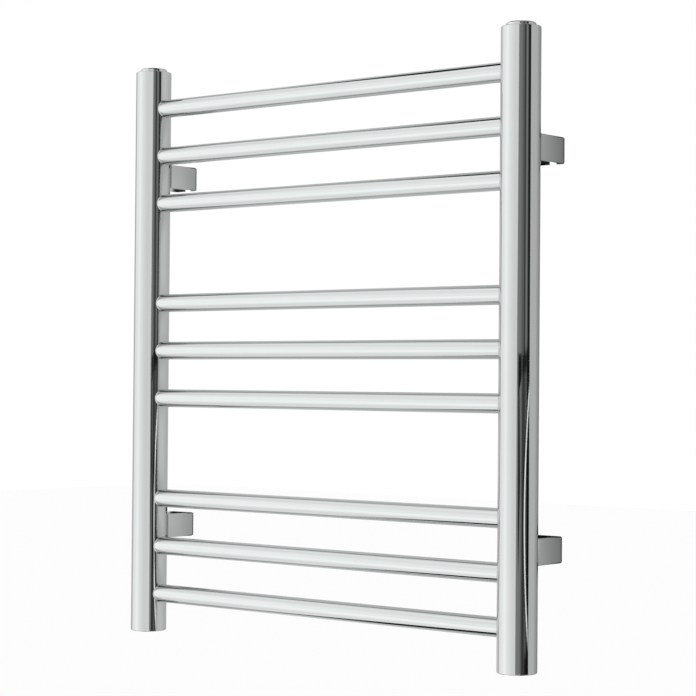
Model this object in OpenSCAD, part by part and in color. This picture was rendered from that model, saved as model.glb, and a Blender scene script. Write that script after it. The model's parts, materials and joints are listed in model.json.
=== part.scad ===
// Wall-hung towel warmer rack: two round collectors joined by nine round rails.
// Origin: centre of the four wall fixings, on the wall plane.
// +X to the right, +Y into the wall, +Z up. Millimetres.

/* [Collectors] */
// Distance between the two collector axes
collector_spacing = 480; // [400:5:600]
// Height of each collector tube
collector_h = 602; // [590:1:700]
// Outside diameter of the collector tubes
collector_d = 38; // [36:0.5:42]
// Wall thickness of the collector tubes
collector_t = 1.5; // [1.2:0.1:2]
// Distance from the collector axes to the wall
wall_gap = 53.5; // [52:0.5:60]

/* [Rails] */
// Outside diameter of the rails
rail_d = 19; // [16:0.5:20]
// Wall thickness of the rails
rail_t = 1.2; // [1:0.1:2]
// Distance between neighbouring rails of one group
rail_pitch = 51; // [45:0.5:54]
// Distance between the middle rails of neighbouring groups
group_pitch = 209.3; // [205:0.1:214]

/* [Wall brackets] */
// Height of the upper and lower brackets above and below the origin
bracket_z = 189; // [188:0.5:190]
// Width of a bracket sleeve
bracket_w = 29; // [28:0.5:30]
// Height of a bracket sleeve
bracket_h = 25.5; // [24:0.5:26]
// Wall thickness of a bracket sleeve
bracket_t = 4; // [3.5:0.1:4.2]
// Radius on the long edges of a bracket sleeve
bracket_r = 1.2; // [0.6:0.1:1.6]
// Length of the wall block's tongue inside the sleeve
tongue_l = 21; // [18:0.5:22]
// Diameter of the wall screw holes
wall_hole_d = 5.5; // [5:0.1:5.7]

/* [Top and bottom fittings] */
// Bore of the G1/2 sockets, at the crests of the thread
socket_d = 18.6; // [18.4:0.1:18.8]
// Length of the threaded rings in the collector ends
socket_l = 14; // [12:0.5:18]
// Diameter of the heads that close the collector tops
head_d = 28.5; // [26:0.5:30]
// Height of those heads
head_h = 3.6; // [3.6:0.1:6]
// Diameter of the bleed screw
bleed_d = 8; // [7:0.5:8.5]

/* [Hidden] */
$fn = 96;
small_fn = 32;
// Side signs: the left collector stands at -X, the right one at +X.
LEFT = -1;
RIGHT = 1;
UPPER = 1;
LOWER = -1;
// Cutting tools reach this far past the faces they cut.
over = 1;
// Gap left between welded or threaded pieces, and the sliding gap of the sleeves.
weld_gap = 0.03;
thread_gap = 0.05;
slide_gap = 0.3;

collector_r = collector_d / 2;
collector_ri = collector_r - collector_t;
collector_top_r = 1;
collector_bottom_r = 1.2;
rail_r = rail_d / 2;
rail_centres = [for (group = [1, 0, -1], row = [1, 0, -1]) group * group_pitch + row * rail_pitch];
// The rail ends stop where the collector's wall is fully passed.
rail_end = sqrt(pow(collector_ri, 2) - pow(rail_r, 2));
rail_l = collector_spacing - 2 * rail_end;

// Bracket sleeve, measured from the collector axis towards the wall.
flange_t = 1.4;
sleeve_set_back = 1;
sleeve_front = sqrt(pow(collector_r, 2) - pow(bracket_w / 2, 2)) + sleeve_set_back;
sleeve_back = wall_gap - flange_t - slide_gap;
sleeve_corner_r = 0.8;
web_t = 4.5;
cavity_front = collector_r + web_t;
cavity_w = bracket_w - 2 * bracket_t;
cavity_h = bracket_h - 2 * bracket_t;
flange_inset = 0.4;
tongue_t = 2.6;
tongue_w = cavity_w - 2 * slide_gap;
tongue_h = cavity_h - 2 * slide_gap;
tongue_base_t = 3.5;

// Fasteners.
boss_r = 7;
boss_l = 9;
screw_r = 3;
screw_l = 13;
screw_head_r = 5;
screw_head_h = 5.5;
screw_key = 5;
grub_r = 2;
grub_l = 3.7;
grub_key = 2;
grub_from_wall = 8;
grub_inset = 0.2;

// Plugs.
plug_r = socket_d / 2 - thread_gap;
plug_l = 11;
plug_chamfer = 1;
head_chamfer = 1;
seal_r = 0.75;
seal_ring_r = 11;
// The seals stand this far clear of the faces that press on them.
seal_gap = 0.02;
seal_groove_w = 1.7;
seal_groove_d = 2 * (seal_r + seal_gap);
blank_key = 10;
blank_key_depth = 9;
socket_chamfer = 0.8;
ring_chamfer = 0.2;
recess_r = 5.2;
recess_d = 3.2;
bleed_r = bleed_d / 2;
bleed_l = 7;
bleed_tip_r = 1.2;
bleed_tip_h = 2.4;
bleed_key = 5;
bleed_key_h = 2.6;
bleed_slot = 1;
bleed_slot_depth = 1.2;
bleed_seal_r = 0.48;
bleed_groove_h = 2 * bleed_seal_r + 0.1;
// Middle of the seal on the bleed screw, halfway down its shank.
bleed_seal_z = (head_h - recess_d + slide_gap - bleed_l) / 2;
port_r = 1.5;
outlet_r = 0.6;
// The outlet runs between the seal groove and the top of the head.
outlet_z = (seal_groove_d + head_h) / 2;

// ---- Shared shapes ----

// A quarter arc about [x, y], from angle a to a + 90 degrees.
function arc(x, y, r, a, steps = 6) =
    [for (i = [0:steps]) [x + r * cos(a + 90 * i / steps), y + r * sin(a + 90 * i / steps)]];

// Rectangle with round corners, centred.
module round_rect(w, h, r) {
    square([w - 2 * r, h], center = true);
    square([w, h - 2 * r], center = true);
    for (x = [-1, 1], y = [-1, 1])
        translate([x * (w / 2 - r), y * (h / 2 - r)]) circle(r = r, $fn = small_fn);
}

// Moves to a collector's axis, with +Y still pointing to the wall.
module at_collector(side) {
    translate([side * collector_spacing / 2, -wall_gap, 0]) children();
}

// Moves to a bracket's centre on the collector axis.
module at_bracket(level, side) {
    at_collector(side) translate([0, 0, level * bracket_z]) children();
}

// Cylinder along +Y that starts at y.
module rod_y(y, r, l) {
    translate([0, y, 0]) rotate([-90, 0, 0]) cylinder(r = r, h = l);
}

// Box whose section in X and Z has round corners, from y along +Y.
module bar_y(y, w, h, r, l) {
    translate([0, y + l, 0]) rotate([90, 0, 0]) linear_extrude(l) round_rect(w, h, r);
}

// ---- Tubes ----

module tube_profile() {
    top = collector_h / 2;
    polygon(concat(
        [[collector_ri, -top]],
        arc(collector_r - collector_bottom_r, collector_bottom_r - top, collector_bottom_r, -90),
        arc(collector_r - collector_top_r, top - collector_top_r, collector_top_r, 0),
        [[collector_ri, top]]));
}

module collector(side) {
    color("silver") at_collector(side) difference() {
        rotate_extrude() tube_profile();
        for (z = rail_centres)
            translate([0, 0, z]) rotate([0, -side * 90, 0])
                cylinder(r = rail_r + weld_gap, h = collector_r + over);
        for (level = [UPPER, LOWER])
            translate([0, 0, level * bracket_z]) rod_y(0, boss_r + weld_gap, collector_r + over);
    }
}

module rail(number) {
    color("silver") translate([-rail_l / 2, -wall_gap, rail_centres[number - 1]]) rotate([0, 90, 0])
        difference() {
            cylinder(r = rail_r, h = rail_l);
            translate([0, 0, -over]) cylinder(r = rail_r - rail_t, h = rail_l + 2 * over);
        }
}

// ---- Threaded rings ----

// Ring with its outer face at z = 0 and its body below.
module threaded_ring(mouth_chamfer) {
    rotate_extrude() polygon([
        [socket_d / 2, -socket_l],
        [collector_ri - weld_gap, -socket_l],
        [collector_ri - weld_gap, 0],
        [socket_d / 2 + mouth_chamfer, 0],
        [socket_d / 2, -mouth_chamfer]]);
}

module top_ring(side) {
    color("gray") at_collector(side) translate([0, 0, collector_h / 2]) threaded_ring(ring_chamfer);
}

module bottom_socket(side) {
    color("gray") at_collector(side) translate([0, 0, -collector_h / 2]) mirror([0, 0, 1])
        threaded_ring(socket_chamfer);
}

// ---- Plugs in the collector tops ----

module at_top(side) {
    at_collector(side) translate([0, 0, collector_h / 2]) children();
}

// Head and barrel shared by the vent and the blanking plug, head resting on z = 0.
module plug_form() {
    difference() {
        rotate_extrude() polygon([
            [0, -plug_l],
            [plug_r - plug_chamfer, -plug_l],
            [plug_r, plug_chamfer - plug_l],
            [plug_r, 0],
            [head_d / 2, 0],
            [head_d / 2, head_h - head_chamfer],
            [head_d / 2 - head_chamfer, head_h],
            [0, head_h]]);
        rotate_extrude() translate([seal_ring_r - seal_groove_w / 2, -over])
            square([seal_groove_w, seal_groove_d + over]);
    }
}

module seal_ring() {
    rotate_extrude() translate([seal_ring_r, seal_r + seal_gap]) circle(r = seal_r, $fn = small_fn);
}

module vent_body() {
    color("silver") at_top(RIGHT) difference() {
        plug_form();
        translate([0, 0, head_h - recess_d]) cylinder(r = recess_r, h = recess_d + over);
        translate([0, 0, -bleed_l]) cylinder(r = bleed_r + thread_gap, h = bleed_l + head_h);
        translate([0, 0, -plug_l - over]) cylinder(r = port_r, h = plug_l + over);
        translate([0, 0, outlet_z]) rod_y(0, outlet_r, head_d);
    }
}

module vent_seal() {
    color("black") at_top(RIGHT) seal_ring();
}

// Square key with a screwdriver slot, shank with a seal groove, conical tip.
module bleed_screw() {
    shank_top = head_h - recess_d;
    tip_z = slide_gap - bleed_l;
    groove_r = bleed_r - 2 * bleed_seal_r;
    groove_low = bleed_seal_z - bleed_groove_h / 2;
    groove_high = bleed_seal_z + bleed_groove_h / 2;
    color("gold") at_top(RIGHT) difference() {
        union() {
            translate([-bleed_key / 2, -bleed_key / 2, shank_top])
                cube([bleed_key, bleed_key, bleed_key_h]);
            rotate_extrude() polygon([
                [0, tip_z],
                [bleed_tip_r, tip_z],
                [bleed_r, tip_z + bleed_tip_h],
                [bleed_r, groove_low],
                [groove_r, groove_low],
                [groove_r, groove_high],
                [bleed_r, groove_high],
                [bleed_r, shank_top],
                [0, shank_top]]);
        }
        translate([-bleed_key, -bleed_slot / 2, shank_top + bleed_key_h - bleed_slot_depth])
            cube([2 * bleed_key, bleed_slot, bleed_slot_depth + over]);
    }
}

module bleed_seal() {
    color("black") at_top(RIGHT) rotate_extrude()
        translate([bleed_r - bleed_seal_r, bleed_seal_z]) circle(r = bleed_seal_r, $fn = small_fn);
}

module blank_plug() {
    color("silver") at_top(LEFT) difference() {
        plug_form();
        translate([0, 0, head_h - blank_key_depth])
            cylinder(d = blank_key / cos(30), h = blank_key_depth + over, $fn = 6);
    }
}

module blank_seal() {
    color("black") at_top(LEFT) seal_ring();
}

// ---- Wall brackets ----

// Outline seen from above, with a small radius on the two front corners.
module sleeve_plan() {
    half = bracket_w / 2;
    polygon(concat(
        [[half, sleeve_back], [-half, sleeve_back]],
        arc(sleeve_corner_r - half, sleeve_front + sleeve_corner_r, sleeve_corner_r, 180),
        arc(half - sleeve_corner_r, sleeve_front + sleeve_corner_r, sleeve_corner_r, -90)));
}

module bracket(level, side) {
    color("silver") at_bracket(level, side) difference() {
        intersection() {
            bar_y(0, bracket_w, bracket_h, bracket_r, sleeve_back + over);
            translate([0, 0, -bracket_h]) linear_extrude(2 * bracket_h) sleeve_plan();
        }
        translate([0, 0, -bracket_h]) cylinder(r = collector_r + weld_gap, h = 2 * bracket_h);
        translate([-cavity_w / 2, cavity_front, -cavity_h / 2]) cube([cavity_w, wall_gap, cavity_h]);
        rod_y(0, screw_r + slide_gap, wall_gap - tongue_l);
        translate([0, wall_gap - grub_from_wall, -bracket_h])
            cylinder(r = grub_r + thread_gap, h = bracket_h);
    }
}

// Welded into the collector's back wall, its outer face ground to the tube's curve.
module boss(level, side) {
    color("gray") at_bracket(level, side) difference() {
        intersection() {
            rod_y(collector_r - boss_l, boss_r, boss_l);
            translate([0, 0, -bracket_h]) cylinder(r = collector_r, h = 2 * bracket_h);
        }
        rod_y(0, screw_r + thread_gap, collector_r + over);
    }
}

module screw(level, side) {
    color("gray") at_bracket(level, side) difference() {
        union() {
            rod_y(cavity_front - screw_l, screw_r, screw_l);
            rod_y(cavity_front, screw_head_r, screw_head_h);
        }
        translate([0, cavity_front + screw_head_h / 2, 0]) rotate([-90, 0, 0])
            cylinder(d = screw_key / cos(30), h = screw_head_h, $fn = 6);
    }
}

// Flange against the wall and a hollow tongue that the sleeve slides over.
module wall_block(level, side) {
    color("dimgray") at_bracket(level, side) difference() {
        union() {
            bar_y(wall_gap - flange_t, bracket_w - 2 * flange_inset, bracket_h - 2 * flange_inset,
                bracket_r, flange_t);
            bar_y(wall_gap - tongue_l, tongue_w, tongue_h, bracket_r, tongue_l);
        }
        bar_y(wall_gap - tongue_l - over, tongue_w - 2 * tongue_t, tongue_h - 2 * tongue_t,
            bracket_r, tongue_l + over - tongue_base_t);
        rod_y(wall_gap - tongue_l, wall_hole_d / 2, tongue_l + over);
    }
}

module grub(level, side) {
    color("gray") at_bracket(level, side) translate([0, wall_gap - grub_from_wall, -bracket_h / 2])
        difference() {
            translate([0, 0, grub_inset]) cylinder(r = grub_r, h = grub_l);
            cylinder(d = grub_key / cos(30), h = grub_l / 2, $fn = 6);
        }
}

// ---- Nodes ----

collector(LEFT);  // collector_left
collector(RIGHT);  // collector_right
rail(1);  // rail_1
rail(2);  // rail_2
rail(3);  // rail_3
rail(4);  // rail_4
rail(5);  // rail_5
rail(6);  // rail_6
rail(7);  // rail_7
rail(8);  // rail_8
rail(9);  // rail_9
top_ring(LEFT);  // top_ring_left
top_ring(RIGHT);  // top_ring_right
bottom_socket(LEFT);  // bottom_socket_left
bottom_socket(RIGHT);  // bottom_socket_right
vent_body();
vent_seal();
bleed_screw();
bleed_seal();
blank_plug();
blank_seal();
bracket(UPPER, LEFT);  // bracket_upper_left
bracket(UPPER, RIGHT);  // bracket_upper_right
bracket(LOWER, LEFT);  // bracket_lower_left
bracket(LOWER, RIGHT);  // bracket_lower_right
boss(UPPER, LEFT);  // boss_upper_left
boss(UPPER, RIGHT);  // boss_upper_right
boss(LOWER, LEFT);  // boss_lower_left
boss(LOWER, RIGHT);  // boss_lower_right
screw(UPPER, LEFT);  // screw_upper_left
screw(UPPER, RIGHT);  // screw_upper_right
screw(LOWER, LEFT);  // screw_lower_left
screw(LOWER, RIGHT);  // screw_lower_right
wall_block(UPPER, LEFT);  // wall_block_upper_left
wall_block(UPPER, RIGHT);  // wall_block_upper_right
wall_block(LOWER, LEFT);  // wall_block_lower_left
wall_block(LOWER, RIGHT);  // wall_block_lower_right
grub(UPPER, LEFT);  // grub_upper_left
grub(UPPER, RIGHT);  // grub_upper_right
grub(LOWER, LEFT);  // grub_lower_left
grub(LOWER, RIGHT);  // grub_lower_right
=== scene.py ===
import json
import math

import bmesh
import bpy
from mathutils import Matrix, Vector


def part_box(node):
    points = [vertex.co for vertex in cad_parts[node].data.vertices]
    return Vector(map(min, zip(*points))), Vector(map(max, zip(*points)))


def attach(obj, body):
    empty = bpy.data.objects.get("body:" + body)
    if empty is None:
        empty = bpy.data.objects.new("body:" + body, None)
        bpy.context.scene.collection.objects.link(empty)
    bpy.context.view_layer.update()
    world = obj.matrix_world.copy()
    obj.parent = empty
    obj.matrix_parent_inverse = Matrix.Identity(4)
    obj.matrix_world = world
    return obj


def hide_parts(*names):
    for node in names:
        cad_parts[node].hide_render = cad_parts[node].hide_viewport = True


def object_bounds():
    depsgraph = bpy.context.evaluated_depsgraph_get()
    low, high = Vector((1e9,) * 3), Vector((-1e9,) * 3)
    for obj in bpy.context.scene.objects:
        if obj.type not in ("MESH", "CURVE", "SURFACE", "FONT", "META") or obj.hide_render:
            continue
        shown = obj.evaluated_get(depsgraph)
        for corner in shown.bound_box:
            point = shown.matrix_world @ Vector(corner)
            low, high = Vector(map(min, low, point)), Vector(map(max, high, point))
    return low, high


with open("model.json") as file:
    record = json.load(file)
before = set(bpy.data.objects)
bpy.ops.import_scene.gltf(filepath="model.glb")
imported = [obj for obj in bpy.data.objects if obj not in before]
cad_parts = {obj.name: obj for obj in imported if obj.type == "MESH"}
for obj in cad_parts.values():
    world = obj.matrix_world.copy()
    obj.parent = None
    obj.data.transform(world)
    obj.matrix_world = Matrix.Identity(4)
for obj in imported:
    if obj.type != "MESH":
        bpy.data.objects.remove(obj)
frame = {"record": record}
cad_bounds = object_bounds()
MM = 0.001
RAILS = range(1, 10)
scene = bpy.context.scene


def span(node):
    """Middle and half size of a CAD node's box."""
    low, high = (Vector(corner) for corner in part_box(node))
    return (low + high) / 2, (high - low) / 2


# ---- Node helpers ----

class Nodes:
    """A thin wrapper that makes shader nodes and links in one call."""

    def __init__(self, tree):
        self.tree = tree
        tree.nodes.clear()

    def add(self, kind, inputs=None, **settings):
        node = self.tree.nodes.new(kind)
        for key, value in settings.items():
            setattr(node, key, value)
        for key, value in (inputs or {}).items():
            socket = node.inputs[key]
            if isinstance(value, bpy.types.NodeSocket):
                self.tree.links.new(value, socket)
            else:
                socket.default_value = value
        return node

    def math(self, operation, *values):
        return self.add("ShaderNodeMath", dict(enumerate(values)), operation=operation).outputs[0]

    def product(self, first, *others):
        for other in others:
            first = self.math("MULTIPLY", first, other)
        return first

    def step(self, value, low, high):
        """0 below low, 1 above high and smooth between; falls instead where low is above high."""
        node = self.add("ShaderNodeMapRange", {"Value": value, "From Min": low, "From Max": high},
                        interpolation_type="SMOOTHSTEP")
        return node.outputs[0]

    def bump(self, value, centre, width):
        """1 at the centre, falling off to both sides."""
        off = self.math("DIVIDE", self.math("SUBTRACT", value, centre), width)
        return self.math("EXPONENT", self.product(off, off, -1.0))

    def mix(self, fac, first, second):
        """The first colour where fac is 0 and the second where it is 1; a number stands for a grey."""
        first, second = ((c, c, c, 1) if isinstance(c, float) else c for c in (first, second))
        # Sockets 6 and 7 and output 2 are the ones that carry colours.
        return self.add("ShaderNodeMix", {0: fac, 6: first, 7: second}, data_type="RGBA").outputs[2]

    def grey(self, colour):
        return self.add("ShaderNodeRGBToBW", {0: colour}).outputs[0]

    def scaled(self, colour, factor):
        """Colour times a number."""
        return self.add("ShaderNodeVectorMath", {0: colour, "Scale": factor}, operation="SCALE").outputs[0]

    def ramp(self, fac, stops):
        """Grey that runs straight between stops of (position, grey)."""
        node = self.add("ShaderNodeValToRGB", {0: fac})
        elements = node.color_ramp.elements
        while len(elements) < len(stops):
            elements.new(0.5)
        for element, (position, grey) in zip(elements, stops):
            element.position = position
            element.color = (grey, grey, grey, 1)
        return node.outputs[0]

    def end(self, shader):
        self.add("ShaderNodeOutputMaterial", {0: shader.outputs[0]})


def material(name):
    mat = bpy.data.materials.new(name)
    mat.use_nodes = True
    return mat, Nodes(mat.node_tree)


# ---- Studio: what the polished tubes reflect ----

def srgb(level):
    """Linear value of an 8-bit grey level."""
    c = level / 255
    return c / 12.92 if c <= 0.04045 else ((c + 0.055) / 1.055) ** 2.4


CHROME_TINT = (0.583, 0.600, 0.597)
GREY_TINT = CHROME_TINT[1]


def seen_in_chrome(level):
    """Brightness of a surface that shows as an 8-bit grey level in the chrome."""
    return srgb(level) / GREY_TINT


# Grey levels seen in the chrome against the azimuth that it reflects: 0 is in front of the rack, 90 to
# its right and -90 to its left. The dark doorway on the right has one set above its beam, one below.
BRIGHT_SIDE = [(-180, 170), (-150, 190), (-120, 150), (-96, 150), (-89, 215), (-62, 226), (-48, 234),
               (-42, 237), (-36, 229), (-29, 223), (-18, 217), (-6, 210), (6, 203), (20, 201), (34, 204),
               (48, 194)]
BACK_RIGHT = [(99, 150), (130, 190), (180, 170)]
ROOM_UPPER = BRIGHT_SIDE + [(49.5, 98), (57, 92), (60, 82), (63.5, 54), (68.5, 54), (72, 106), (77, 120),
                            (80, 86), (83, 76), (86, 38), (89, 24), (97, 24)] + BACK_RIGHT
ROOM_LOWER = BRIGHT_SIDE + [(49.5, 96), (53, 80), (57, 52), (63, 48), (66, 60), (69, 60), (73, 80),
                            (79, 84), (82, 34), (86, 14), (97, 12)] + BACK_RIGHT
# The doorway leans by this many degrees of azimuth for each unit of rise, up to a limit of rise.
ROOM_TILT = 25.0
TILT_LIMIT = 0.2
# The doorway's edges are soft over the few degrees between each pair.
DOOR_LEFT = (46, 50)
DOOR_RIGHT = (99, 97)
# The beam across the doorway: its rise, half its thickness, how soft its edges are, and its slope.
BEAM_RISE = 0.0035
BEAM_HALF = 0.0048
BEAM_SOFTNESS = 0.25
BEAM_SLOPE = 0.0001
BEAM_LEVEL = 20
# The cable below the beam: the rise and azimuth of its bend, how fast it curves away, and the soft edges
# of its head, its foot and the doorway to its right.
CABLE_RISE = -0.066
CABLE_TURN = 71.5
CABLE_CURVE = 6560.0
CABLE_HEAD = (0.002, -0.004)
CABLE_FOOT = (-0.134, -0.118)
CABLE_RIGHT = (99, 95)
CABLE_WIDTH = 2.8
CABLE_LEVEL = 250
CABLE_SHADOW_TURN = -7.0
CABLE_SHADOW_WIDTH = 3.2
CABLE_SHADOW_LEVEL = 10
# The soft edges of the piece of furniture at the doorway's foot.
FURNITURE_LEFT = (65, 77)
FURNITURE_RIGHT = (97, 89)
FURNITURE_TOP = (-0.131, -0.135)
FURNITURE_FOOT = (-0.3, -0.2)
FURNITURE_LEVEL = 18
# Brightness of the world for soft light, and as the plain backdrop that the camera sees.
SOFT_LIGHT = 1.15
BACKDROP = 1.0
# Brightness of the bright side against the rise of the reflected ray, 0.5 at full strength.
SOFTBOX_RISE = [(-0.92, 0.36), (-0.80, 0.44), (-0.73, 0.50), (-0.67, 0.455), (-0.60, 0.445), (-0.50, 0.475),
                (-0.39, 0.52), (-0.22, 0.535), (0, 0.50), (0.22, 0.53), (0.39, 0.485), (0.50, 0.45),
                (0.60, 0.43), (0.67, 0.44), (0.73, 0.50), (0.80, 0.46), (0.92, 0.36)]


def doorway(n, degrees, z):
    """The room to all sides, with a beam across its doorway that rises a little to the right."""
    fac = n.math("MULTIPLY_ADD", degrees, 1 / 360, 0.5)
    upper, lower = (n.ramp(fac, [((a + 180) / 360, seen_in_chrome(level)) for a, level in room])
                    for room in (ROOM_UPPER, ROOM_LOWER))
    off_beam = n.math("SUBTRACT", z, n.math("MULTIPLY_ADD", degrees, BEAM_SLOPE, BEAM_RISE))
    room = n.mix(n.step(off_beam, -BEAM_HALF, BEAM_HALF), lower, upper)
    thick = n.step(n.math("ABSOLUTE", off_beam), BEAM_HALF * (1 + BEAM_SOFTNESS),
                   BEAM_HALF * (1 - BEAM_SOFTNESS))
    beam = n.product(thick, n.step(degrees, *DOOR_LEFT), n.step(degrees, *DOOR_RIGHT))
    return n.mix(beam, room, seen_in_chrome(BEAM_LEVEL))


def hang_cable(n, room, degrees, lean, z):
    """Adds a pale cable that curves away to the right above and below, with its shadow to its left."""
    sag = n.math("SUBTRACT", z, CABLE_RISE)
    bend = n.math("MULTIPLY_ADD", n.product(sag, sag), CABLE_CURVE, CABLE_TURN)
    off_cable = n.math("SUBTRACT", n.math("SUBTRACT", degrees, lean), bend)
    below = n.product(n.step(z, *CABLE_HEAD), n.step(degrees, *CABLE_RIGHT), n.step(z, *CABLE_FOOT))
    shadow = n.product(n.bump(off_cable, CABLE_SHADOW_TURN, CABLE_SHADOW_WIDTH), below)
    room = n.mix(shadow, room, seen_in_chrome(CABLE_SHADOW_LEVEL))
    cable = n.product(n.bump(off_cable, 0.0, CABLE_WIDTH), below)
    return n.mix(cable, room, seen_in_chrome(CABLE_LEVEL))


def furnish(n, room, degrees, z):
    """Adds a dark piece of furniture at the foot of the doorway."""
    furniture = n.product(n.step(degrees, *FURNITURE_LEFT), n.step(degrees, *FURNITURE_RIGHT),
                          n.step(z, *FURNITURE_TOP), n.step(z, *FURNITURE_FOOT))
    return n.mix(furniture, room, seen_in_chrome(FURNITURE_LEVEL))


def make_world():
    world = bpy.data.worlds.new("studio")
    scene.world = world
    world.use_nodes = True
    n = Nodes(world.node_tree)
    split = n.add("ShaderNodeSeparateXYZ", {0: n.add("ShaderNodeTexCoord").outputs["Generated"]})
    x, y, z = split.outputs
    turn = n.math("ARCTAN2", x, n.math("MULTIPLY", y, -1.0))
    lean = n.product(n.math("MAXIMUM", n.math("MINIMUM", z, TILT_LIMIT), -TILT_LIMIT), ROOM_TILT)
    degrees = n.math("MULTIPLY_ADD", turn, 180 / math.pi, lean)
    room = doorway(n, degrees, z)
    room = hang_cable(n, room, degrees, lean, z)
    room = furnish(n, room, degrees, z)
    # Soft boxes brighten the room in bands.
    boxes = n.ramp(n.math("MULTIPLY_ADD", z, 0.5, 0.5), [((rise + 1) / 2, v) for rise, v in SOFTBOX_RISE])
    room = n.scaled(room, n.product(boxes, 2.0))
    path = n.add("ShaderNodeLightPath")
    glossy = n.mix(path.outputs["Is Glossy Ray"], SOFT_LIGHT, room)
    seen = n.mix(path.outputs["Is Camera Ray"], glossy, BACKDROP)
    background = n.add("ShaderNodeBackground", {"Color": seen})
    n.add("ShaderNodeOutputWorld", {0: background.outputs[0]})


def plane(name, corners, mat):
    mesh = bpy.data.meshes.new(name)
    mesh.from_pydata([Vector(c) for c in corners], [], [tuple(range(len(corners)))])
    obj = bpy.data.objects.new(name, mesh)
    scene.collection.objects.link(obj)
    obj.data.materials.append(mat)
    return obj


def diffuse(name, grey):
    mat, n = material(name)
    n.end(n.add("ShaderNodeBsdfDiffuse", {"Color": (grey, grey, grey, 1)}))
    return mat


def glow(name, brightness):
    """Light of that brightness: a number, or a function that builds its nodes."""
    mat, n = material(name)
    if callable(brightness):
        brightness = brightness(n)
    n.end(n.add("ShaderNodeEmission", {"Color": (1, 1, 1, 1), "Strength": brightness}))
    return mat


def object_xz(n):
    split = n.add("ShaderNodeSeparateXYZ", {0: n.add("ShaderNodeTexCoord").outputs["Object"]})
    return split.outputs[0], split.outputs[2]


def shaded(n, level, amount, depth):
    """Level, darkened by depth where amount is 1."""
    return n.math("MULTIPLY", n.math("MULTIPLY_ADD", amount, -depth, 1.0), level)


# The board's levels behind the left and the right half of the rack.
BOARD_LEVELS = (187, 173)
BOARD_LEVEL_PAST = 0.05
# The shade on the board to the left of the rack.
BOARD_EDGE_SHADE = 0.30
BOARD_EDGE_FADE = (0.03, 0.07)
# How deep and how wide the shadows of the collectors and the rails are.
LEFT_SHADE, LEFT_WIDTH = 0.28, 0.045
RIGHT_SHADE, RIGHT_WIDTH = 0.60, 0.042
RAIL_SHADE, RAIL_WIDTH = 0.25, 0.018
RAIL_FADE = 0.1
# By side: how deep the painted shade on the board is beside a bracket, and right where they meet.
BRACKET_SHADES = {"left": (0.20, 0.25), "right": (0.13, 0.60)}
BESIDE_WIDTH = 0.02
CONTACT_WIDTH = 0.0022
BRACKET_REACH = 0.012
# The painted shadow lines over and under a bracket, and how they end to both sides.
EDGE_SHADE = 0.985
EDGE_SOFTNESS = 0.0008
EDGE_ENDS = (0.012, 0.004)
# The painted bright gap in the painted shadow line under an upper bracket, and the paler stretch of that
# line to its right.
GAP_MIDDLE = 0.001
GAP_HALF = (0.0042, 0.0034)
GAP_LEVEL = 245
GAP_SOFTNESS = 0.0005
BEYOND_GAP = (0.004, 0.006)
BEYOND_SHADE = 0.45


def bracket_shadow(n, level, x, z, storey, side):
    """Darkens the board around a bracket."""
    middle, half = span(f"bracket_{storey}_{side}")
    off_x = n.math("SUBTRACT", x, middle.x)
    off_z = n.math("SUBTRACT", z, middle.z)
    out_x = n.math("MAXIMUM", n.math("SUBTRACT", n.math("ABSOLUTE", off_x), half.x), 0.0)
    out_z = n.math("MAXIMUM", n.math("SUBTRACT", n.math("ABSOLUTE", off_z), half.z), 0.0)
    beside = n.step(out_z, BRACKET_REACH, 0.0)
    for shade, width in zip(BRACKET_SHADES[side], (BESIDE_WIDTH, CONTACT_WIDTH)):
        level = shaded(n, level, n.product(n.bump(out_x, 0.0, width), beside), shade)
    edge = n.product(n.step(out_z, 0.0, EDGE_SOFTNESS), n.bump(out_z, 0.0, BRACKET_REACH),
                     n.step(out_x, *EDGE_ENDS))
    # Under an upper bracket, the painted shadow line has a painted bright gap and a paler stretch beyond
    # it.
    if storey == "upper":
        below = n.step(off_z, -half.z, -half.z - GAP_SOFTNESS)
        gap = n.product(n.step(n.math("ABSOLUTE", n.math("SUBTRACT", off_x, GAP_MIDDLE)), *GAP_HALF), below)
        beyond = n.product(n.step(off_x, *BEYOND_GAP), below)
        edge = n.product(edge, n.math("MULTIPLY_ADD", beyond, -BEYOND_SHADE, 1.0),
                         n.math("SUBTRACT", 1.0, gap))
        lit = n.product(gap, n.bump(out_z, 0.0, BRACKET_REACH))
        level = n.math("MULTIPLY_ADD", lit, seen_in_chrome(GAP_LEVEL), level)
    return shaded(n, level, edge, EDGE_SHADE)


def board_paint(n):
    """Brightness of the board behind the rack, with the shadows where the rack comes close to it."""
    x, z = object_xz(n)
    left, right = (span(f"collector_{side}")[0].x for side in ("left", "right"))
    across = n.step(x, left, right + BOARD_LEVEL_PAST)
    level = n.grey(n.mix(across, *(seen_in_chrome(grey) for grey in BOARD_LEVELS)))
    edge = n.step(x, left - BOARD_EDGE_FADE[0], left - BOARD_EDGE_FADE[1])
    level = shaded(n, level, edge, BOARD_EDGE_SHADE)
    level = shaded(n, level, n.bump(x, left, LEFT_WIDTH), LEFT_SHADE)
    level = shaded(n, level, n.bump(x, right, RIGHT_WIDTH), RIGHT_SHADE)
    inside = n.product(n.step(x, left, left + RAIL_FADE), n.step(x, right, right - RAIL_FADE))
    for number in RAILS:
        rail, _ = span(f"rail_{number}")
        level = shaded(n, level, n.product(n.bump(z, rail.z, RAIL_WIDTH), inside), RAIL_SHADE)
    for side in ("left", "right"):
        for storey in ("upper", "lower"):
            level = bracket_shadow(n, level, x, z, storey, side)
    return level


def reflected_only(obj):
    """Hides a card from the camera and from soft light; the chrome still shows it."""
    obj.visible_camera = False
    obj.visible_shadow = False
    obj.visible_diffuse = False
    obj.visible_transmission = False


def card(name, corners, brightness):
    reflected_only(plane(name, corners, glow(f"{name}_cloth", brightness)))


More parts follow.
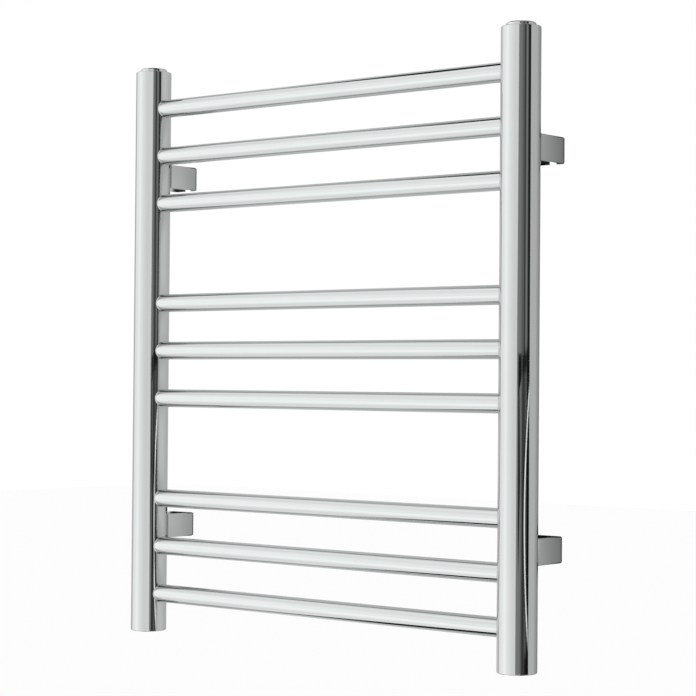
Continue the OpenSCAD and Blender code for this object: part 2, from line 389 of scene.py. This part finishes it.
# The flag beside the camera: its near and far edge in x and y, and the foot of its near edge.
FLAG_NEAR = (0.72, -1.14)
FLAG_FAR = (2.9, -2.0)
FLAG_FOOT = (0.50, -0.56)
FLAG_TOP, FLAG_BOTTOM = 1.5, -0.75
FLAG_LEVELS = (117, 82)
FLAG_FRAME_LEVEL = 26
POST_Y = -1.0535
POST_OUTLINE = [(0.93, -0.25), (1.0, -0.39), (1.09, -0.30), (1.24, -0.19), (0.99, 0), (0.85, 0)]
BAR_NEAR, BAR_FAR = (0.85, -1.05), (2.15, -1.66)
# The strips over and under the rack: how far they stand off it, their outlines and where they thin out.
STRIP_GAP = 0.65
STRIP_LEVELS = (18, 175)
TOP_STRIP = [(-0.2, -0.19), (-0.2, 0.16), (-0.43, 0.16), (-0.85, 0.36), (-0.85, 0.14), (-0.38, -0.23)]
TOP_STRIP_FADE = (-0.38, -0.86)
BOTTOM_STRIP = [(-0.2, -0.57), (-0.2, -0.16), (-0.8, 0.47), (-0.8, 0.15)]
BOTTOM_STRIP_FADE = (-0.40, -0.86)
# The dark cards of painted shade in the gaps between rails, which the rails reflect as dark lines: where
# they start, and the slant at which they fade from view.
SHADE_CARD_START = -0.013
SHADE_CLOTH_SLANT = (0.5, 0.35)
FLOOR_DROP = 0.7
FLOOR_HALF = 12.0
FLOOR_GREY = 0.85
# The board behind the rack: how far it reaches past it, its sides, and its gap to the wall plane.
BOARD_RISE = 0.15
BOARD_DROP = 0.2
BOARD_LEFT, BOARD_RIGHT_BOTTOM, BOARD_RIGHT_TOP = -1.2, 0.5, 0.9
BOARD_GAP = 0.0005


def fading_cloth(fade, levels):
    """Cloth that goes from the first level to the second along x."""
    def brightness(n):
        along = n.step(object_xz(n)[0], *fade)
        return n.grey(n.mix(along, *(seen_in_chrome(level) for level in levels)))
    return brightness


def steep_shade_cloth(name, clear_at, dark_at):
    """Black cloth of painted shade: seen only steeply and from the front of its card, and thinned out along
    it.
    """
    mat, n = material(name)
    fade = n.step(object_xz(n)[0], clear_at, dark_at)
    slant = n.add("ShaderNodeLayerWeight", {"Blend": 0.5}).outputs["Facing"]
    front = n.math("SUBTRACT", 1.0, n.add("ShaderNodeNewGeometry").outputs["Backfacing"])
    seen = n.product(fade, n.step(slant, *SHADE_CLOTH_SLANT), front)
    clear = n.add("ShaderNodeBsdfTransparent").outputs[0]
    dark = n.add("ShaderNodeEmission", {"Color": (0, 0, 0, 1)}).outputs[0]
    n.end(n.add("ShaderNodeMixShader", {0: seen, 1: clear, 2: dark}))
    return mat


def rail_shade_card(number, neighbour, front, back, dark_at):
    """A narrow dark card half way to a neighbouring rail, which the rail reflects: painted shade in place
    of that neighbour's shade.

    It reaches from front to back, both measured forward from the rails' axis.
    """
    rail, half = span(f"rail_{number}")
    height = (rail.z + span(f"rail_{neighbour}")[0].z) / 2
    end = rail.x + half.x
    corners = [(SHADE_CARD_START, rail.y - front, height), (end, rail.y - front, height),
               (end, rail.y - back, height), (SHADE_CARD_START, rail.y - back, height)]
    if neighbour < number:
        corners.reverse()
    name = f"gap_flag_{number}"
    reflected_only(plane(name, corners, steep_shade_cloth(f"{name}_cloth", SHADE_CARD_START, dark_at)))


def make_flag():
    """A hanging cloth beside the camera, whose near edge leans towards the rack below the middle."""
    cloth = fading_cloth((FLAG_NEAR[0], FLAG_FAR[0]), FLAG_LEVELS)
    card("flag_upper", [(*FLAG_NEAR, 0), (*FLAG_FAR, 0), (*FLAG_FAR, FLAG_TOP),
                        (*FLAG_NEAR, FLAG_TOP)], cloth)
    card("flag_lower", [(*FLAG_FOOT, FLAG_BOTTOM), (*FLAG_FAR, FLAG_BOTTOM), (*FLAG_FAR, 0),
                        (*FLAG_NEAR, 0)], cloth)
    frame_light = seen_in_chrome(FLAG_FRAME_LEVEL)
    card("flag_post", [(x, POST_Y, z) for x, z in POST_OUTLINE], frame_light)
    card("flag_bar", [(*BAR_NEAR, -0.05), (*BAR_FAR, -0.018), (*BAR_FAR, 0.030), (*BAR_NEAR, 0.0116)],
         frame_light)


def make_stage():
    low, high = (Vector(corner) for corner in cad_bounds)
    floor_z = low.z - FLOOR_DROP
    square = [(-FLOOR_HALF, -FLOOR_HALF), (FLOOR_HALF, -FLOOR_HALF), (FLOOR_HALF, FLOOR_HALF),
              (-FLOOR_HALF, FLOOR_HALF)]
    floor = plane("floor", [(*corner, floor_z) for corner in square], diffuse("floor_paint", FLOOR_GREY))
    floor.visible_glossy = False
    back = high.y + BOARD_GAP
    top, bottom = high.z + BOARD_RISE, low.z - BOARD_DROP
    card("board", [(BOARD_LEFT, back, bottom), (BOARD_RIGHT_BOTTOM, back, bottom),
                   (BOARD_RIGHT_TOP, back, top), (BOARD_LEFT, back, top)], board_paint)
    make_flag()
    # Dark strips far above and below draw the thin lines along the edges of the rails. The rails hide them
    # from each other, and narrow cards of painted shade in the gaps take their place there.
    over, under = high.z + STRIP_GAP, low.z - STRIP_GAP
    card("strip_top", [(*corner, over) for corner in TOP_STRIP], fading_cloth(TOP_STRIP_FADE, STRIP_LEVELS))
    card("strip_bottom", [(*corner, under) for corner in BOTTOM_STRIP],
         fading_cloth(BOTTOM_STRIP_FADE, STRIP_LEVELS))
    # Cards of painted shade beside rails 2 and 3 and beside rails 7 and 8.
    for number in (2, 3):
        rail_shade_card(number, number - 1, front=10.6 * MM, back=4.4 * MM, dark_at=0.23)
    for number in (7, 8):
        rail_shade_card(number, number + 1, front=16.5 * MM, back=9.0 * MM, dark_at=0.22)


# ---- Camera ----

# Metres from the rack's origin, and degrees; the focal length is in widths of a pixel of the frame.
CAMERA_AT = (1.3024, -1.6078, -0.0314)
CAMERA_YAW = 39.204
CAMERA_PITCH = 0.948
CAMERA_ROLL = 0.468
FOCAL_PX = 2015
FRAME_PX = 696


def make_camera():
    data = bpy.data.cameras.new("camera")
    data.sensor_width = 36
    data.lens = data.sensor_width * FOCAL_PX / FRAME_PX
    cam = bpy.data.objects.new("camera", data)
    scene.collection.objects.link(cam)
    turn = (Matrix.Rotation(math.radians(CAMERA_YAW), 4, "Z")
            @ Matrix.Rotation(math.radians(90 + CAMERA_PITCH), 4, "X")
            @ Matrix.Rotation(math.radians(CAMERA_ROLL), 4, "Z"))
    cam.matrix_world = Matrix.Translation(CAMERA_AT) @ turn
    scene.camera = cam


# ---- Materials ----

COLLECTOR_X, TUBE_Y = span("collector_right")[0].xy
# Noise scales are in cycles per metre, and almost all noise lies in this range.
NOISE_RANGE = (0.3, 0.7)


def finished(n, mat, colour, roughness, metallic, height, depth):
    """Ends a material: a principled shader with a bump of that depth, in metres."""
    bump = n.add("ShaderNodeBump", {"Height": height, "Distance": depth, "Strength": 1.0})
    n.end(n.add("ShaderNodeBsdfPrincipled", {"Base Color": colour, "Roughness": roughness,
                                             "Metallic": metallic, "Normal": bump.outputs[0]}))
    return mat


def noise(n, vector, scale, detail=2.0):
    return n.add("ShaderNodeTexNoise", {"Vector": vector, "Scale": scale, "Detail": detail}).outputs[0]


def between(n, fac, low, high):
    """A number that follows a noise from low to high."""
    inputs = {"Value": fac, "From Min": NOISE_RANGE[0], "From Max": NOISE_RANGE[1], "To Min": low,
              "To Max": high}
    return n.add("ShaderNodeMapRange", inputs).outputs[0]


def faded(colour, factor):
    return (*(part * factor for part in colour), 1)


# The straight lines that drawing leaves: how much they are stretched, and how many there are.
DRAWN_STRETCH = 0.012
DRAWN_SCALE = 420.0
DRAWN_ROUGHNESS = (0.0, 0.012)
HAZE_SCALE = 45.0
HAZE_ROUGHNESS = (0.012, 0.034)
HAZE_TINT = 0.985
PEEL_SCALE = 210.0
PEEL_SHARE = 0.35
PLATE_DEPTH = 0.006 * MM


def chrome(name, drawn):
    """Chrome plate over tube or sheet that was drawn along that axis, which leaves faint straight lines."""
    mat, n = material(name)
    coords = n.add("ShaderNodeTexCoord").outputs["Object"]
    stretch = [1.0, 1.0, 1.0]
    stretch["xyz".index(drawn)] = DRAWN_STRETCH
    lines = n.add("ShaderNodeVectorMath", {0: coords, 1: stretch}, operation="MULTIPLY").outputs[0]
    line = noise(n, lines, DRAWN_SCALE, 3.0)
    haze = noise(n, coords, HAZE_SCALE, 4.0)
    roughness = n.math("ADD", between(n, haze, *HAZE_ROUGHNESS), between(n, line, *DRAWN_ROUGHNESS))
    peel = n.math("MULTIPLY_ADD", noise(n, coords, PEEL_SCALE), PEEL_SHARE, line)
    tint = n.mix(between(n, haze, 0.0, 1.0), (*CHROME_TINT, 1), faded(CHROME_TINT, HAZE_TINT))
    return finished(n, mat, tint, roughness, 1.0, peel, PLATE_DEPTH)


# The feed of the lathe, and how deep its rings are beside the stains.
RING_PITCH = 0.22 * MM
RING_SHARE = 0.4
TURNED_DEPTH = 0.01 * MM
STAIN_SCALE = 260.0
BARE_STEEL = (0.30, 0.28, 0.26)
BARE_ROUGHNESS = 0.22
BARE_EDGE = 0.3 * MM


def turned_metal(name, bright, dull, rough_low, rough_high, bore=None):
    """Metal with fine lathe rings about the collector that it sits in, bare and dark inside the bore."""
    mat, n = material(name)
    coords = n.add("ShaderNodeTexCoord").outputs["Object"]
    x, y, z = n.add("ShaderNodeSeparateXYZ", {0: coords}).outputs
    off_x = n.math("SUBTRACT", n.math("ABSOLUTE", x), COLLECTOR_X)
    off_y = n.math("SUBTRACT", y, TUBE_Y)
    radius = n.math("SQRT", n.math("ADD", n.product(off_x, off_x), n.product(off_y, off_y)))
    rings = n.math("SINE", n.product(n.math("ADD", radius, z), 2 * math.pi / RING_PITCH))
    stain = noise(n, coords, STAIN_SCALE, 4.0)
    colour = n.mix(between(n, stain, 0.0, 1.0), (*bright, 1), (*dull, 1))
    roughness = between(n, stain, rough_low, rough_high)
    if bore:
        inside = n.step(radius, bore + BARE_EDGE, bore - BARE_EDGE)
        colour = n.mix(inside, colour, (*BARE_STEEL, 1))
        roughness = n.math("MULTIPLY_ADD", inside, BARE_ROUGHNESS, roughness)
    height = n.math("MULTIPLY_ADD", rings, RING_SHARE, stain)
    return finished(n, mat, colour, roughness, 1.0, height, TURNED_DEPTH)


ZINC_SCALE = 420.0
ZINC_BRIGHT = (0.60, 0.63, 0.68, 1)
ZINC_DULL = (0.46, 0.47, 0.48, 1)
ZINC_ROUGHNESS = (0.24, 0.42)
ZINC_DEPTH = 0.01 * MM


def zinc_plate():
    """Cloudy zinc plate on small screws."""
    mat, n = material("screw_zinc")
    cloud = noise(n, n.add("ShaderNodeTexCoord").outputs["Object"], ZINC_SCALE, 5.0)
    colour = n.mix(between(n, cloud, 0.0, 1.0), ZINC_BRIGHT, ZINC_DULL)
    return finished(n, mat, colour, between(n, cloud, *ZINC_ROUGHNESS), 1.0, cloud, ZINC_DEPTH)


# Flecks against the grain: how many, how large and how strong; and how much the shade wanders.
FLECK_SCALE = 1.4
FLECK_SIZE = (0.16, 0.08)
FLECK_STRENGTH = 0.5
SHADE_SCALE = 1 / 12
SHADE_LIFT = 1.35


def moulded(name, base, fleck, scale, rough_low, rough_high, depth):
    """Moulded plastic or rubber with a fine grain and small pale flecks."""
    mat, n = material(name)
    coords = n.add("ShaderNodeTexCoord").outputs["Object"]
    grain = noise(n, coords, scale, 4.0)
    cloud = noise(n, coords, scale * SHADE_SCALE)
    cells = n.add("ShaderNodeTexVoronoi", {"Vector": coords, "Scale": scale * FLECK_SCALE})
    flecks = n.product(n.step(cells.outputs["Distance"], *FLECK_SIZE), FLECK_STRENGTH)
    shade = n.mix(between(n, cloud, 0.0, 1.0), (*base, 1), faded(base, SHADE_LIFT))
    colour = n.mix(flecks, shade, (*fleck, 1))
    return finished(n, mat, colour, between(n, grain, rough_low, rough_high), 0.0, grain, depth)


# The threaded rings and sockets are bare steel inside this radius.
BARE_R = 11 * MM


def dress_frame():
    """Gives every CAD node its material, and returns those that the added pieces share."""
    upright = chrome("chrome_upright", "z")
    level = chrome("chrome_level", "x")
    sleeve = chrome("chrome_sleeve", "y")
    by_slot = {
        "welded_steel": turned_metal("turned_steel", CHROME_TINT, (0.53, 0.54, 0.54), 0.13, 0.24, BARE_R),
        "screw_steel": zinc_plate(),
        "wall_block": moulded("black_nylon", (0.020, 0.020, 0.022), (0.075, 0.075, 0.078), 900.0,
                              0.40, 0.60, 0.04 * MM),
        "brass": turned_metal("turned_brass", (0.72, 0.52, 0.22), (0.52, 0.36, 0.14), 0.20, 0.38),
        "rubber": moulded("black_rubber", (0.018, 0.018, 0.018), (0.040, 0.040, 0.040), 1600.0,
                          0.62, 0.80, 0.03 * MM)}
    for entry in frame["record"]["subparts"]:
        node, slot = entry["node"], entry["material_slot"]
        if slot == "chrome":
            mat = level if node.startswith("rail") else sleeve if node.startswith("bracket") else upright
        else:
            mat = by_slot[slot]
        obj = bpy.data.objects[node]
        obj.data.materials.clear()
        obj.data.materials.append(mat)
    return upright, by_slot["welded_steel"]


# ---- Pieces ----

# Edges that turn by less than this are smooth.
SHARP_DEGREES = 50


def ring_piece(name, sections, mat):
    """A closed ring through cross-sections that all have the same number of points, riding on the rack."""
    mesh = bmesh.new()
    loops = [[mesh.verts.new(point) for point in section] for section in sections]
    for loop, following in zip(loops, loops[1:] + loops[:1]):
        for i in range(len(loop)):
            j = (i + 1) % len(loop)
            mesh.faces.new((loop[i], loop[j], following[j], following[i]))
    bmesh.ops.recalc_face_normals(mesh, faces=mesh.faces)
    for face in mesh.faces:
        face.smooth = True
    for edge in mesh.edges:
        edge.smooth = edge.calc_face_angle(0) < math.radians(SHARP_DEGREES)
    data = bpy.data.meshes.new(name)
    mesh.to_mesh(data)
    mesh.free()
    data.materials.append(mat)
    obj = bpy.data.objects.new(name, data)
    scene.collection.objects.link(obj)
    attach(obj, "rack")
    return obj


WELD_LEG = 1.1 * MM
WELD_STEPS = 72
WELD_CURVE_STEPS = 6
# The bead sinks this far into the tubes, so that its edges close on their faces, and its root goes deeper.
WELD_SINK = 0.04 * MM
WELD_ROOT = 3 * WELD_SINK
# The bead swells and thins a little along its run: how much, and how often around the rail.
RIPPLE, RIPPLES = 0.06, 11
SWELL, SWELLS = 0.05, 3


def rail_weld(number, side, mat):
    """The plated fillet of weld where a rail meets a collector."""
    rail, rail_half = span(f"rail_{number}")
    tube, tube_half = span(f"collector_{side}")
    rail_r = rail_half.z - WELD_SINK
    tube_r = tube_half.x - WELD_SINK
    inward = 1 if side == "left" else -1

    def on_tube(reach, turn):
        y, z = reach * math.cos(turn), reach * math.sin(turn)
        return Vector((tube.x + inward * math.sqrt(tube_r ** 2 - y ** 2), rail.y + y, rail.z + z))

    sections = []
    for step in range(WELD_STEPS):
        turn = 2 * math.pi * step / WELD_STEPS
        ripple = RIPPLE * math.sin(RIPPLES * turn + number)
        swell = SWELL * math.sin(SWELLS * turn + 2 * number)
        leg = WELD_LEG * (1 + ripple + swell)
        corner = on_tube(rail_r, turn)
        along_rail = corner + Vector((inward * leg, 0, 0))
        along_tube = on_tube(rail_r + leg, turn)
        section = []
        for k in range(WELD_CURVE_STEPS + 1):
            t = k / WELD_CURVE_STEPS
            section.append((1 - t) ** 2 * along_rail + 2 * t * (1 - t) * corner + t * t * along_tube)
        section.append(on_tube(rail_r - WELD_ROOT, turn) - Vector((inward * WELD_ROOT, 0, 0)))
        sections.append(section)
    ring_piece(f"weld_{number}_{side}", sections, mat)


# The G1/2 thread: its pitch, its depth and the chamfer at its mouth.
PIPE_PITCH = 1.814 * MM
PIPE_DEPTH = 1.16 * MM
PIPE_LEAD_IN = 1.3 * MM
TURN_STEPS = 96
PITCH_STEPS = 12


def socket_thread(side, mat):
    """The G1/2 socket at a collector's foot, with its helical thread."""
    node = f"bottom_socket_{side}"
    centre, half = span(node)
    outer = half.x
    length = 2 * half.z
    foot = Vector((centre.x, centre.y, centre.z - half.z))
    mount = next(m for m in frame["record"]["mounts"] if m["name"] == f"water_socket_{side}")
    crest = mount["dims"]["r_mm"] * MM
    rows = round(length / PIPE_PITCH * PITCH_STEPS)
    sections = []
    for step in range(TURN_STEPS):
        turn = step / TURN_STEPS
        out = Vector((math.cos(2 * math.pi * turn), math.sin(2 * math.pi * turn), 0))
        section = [foot + out * outer]
        for row in range(rows + 1):
            rise = length * row / rows
            groove = 0.5 - 0.5 * math.cos(2 * math.pi * (rise / PIPE_PITCH - turn))
            radius = max(crest + PIPE_DEPTH * groove, crest + PIPE_LEAD_IN - rise)
            section.append(foot + out * radius + Vector((0, 0, rise)))
        section.append(foot + out * outer + Vector((0, 0, length)))
        sections.append(section)
    piece = ring_piece(f"thread_{side}", sections, mat)
    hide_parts(node)


# ---- Build ----

make_camera()
make_world()
make_stage()
scene.view_settings.view_transform = "Standard"
plated, steel = dress_frame()
for side in ("left", "right"):
    for number in RAILS:
        rail_weld(number, side, plated)
    socket_thread(side, steel)
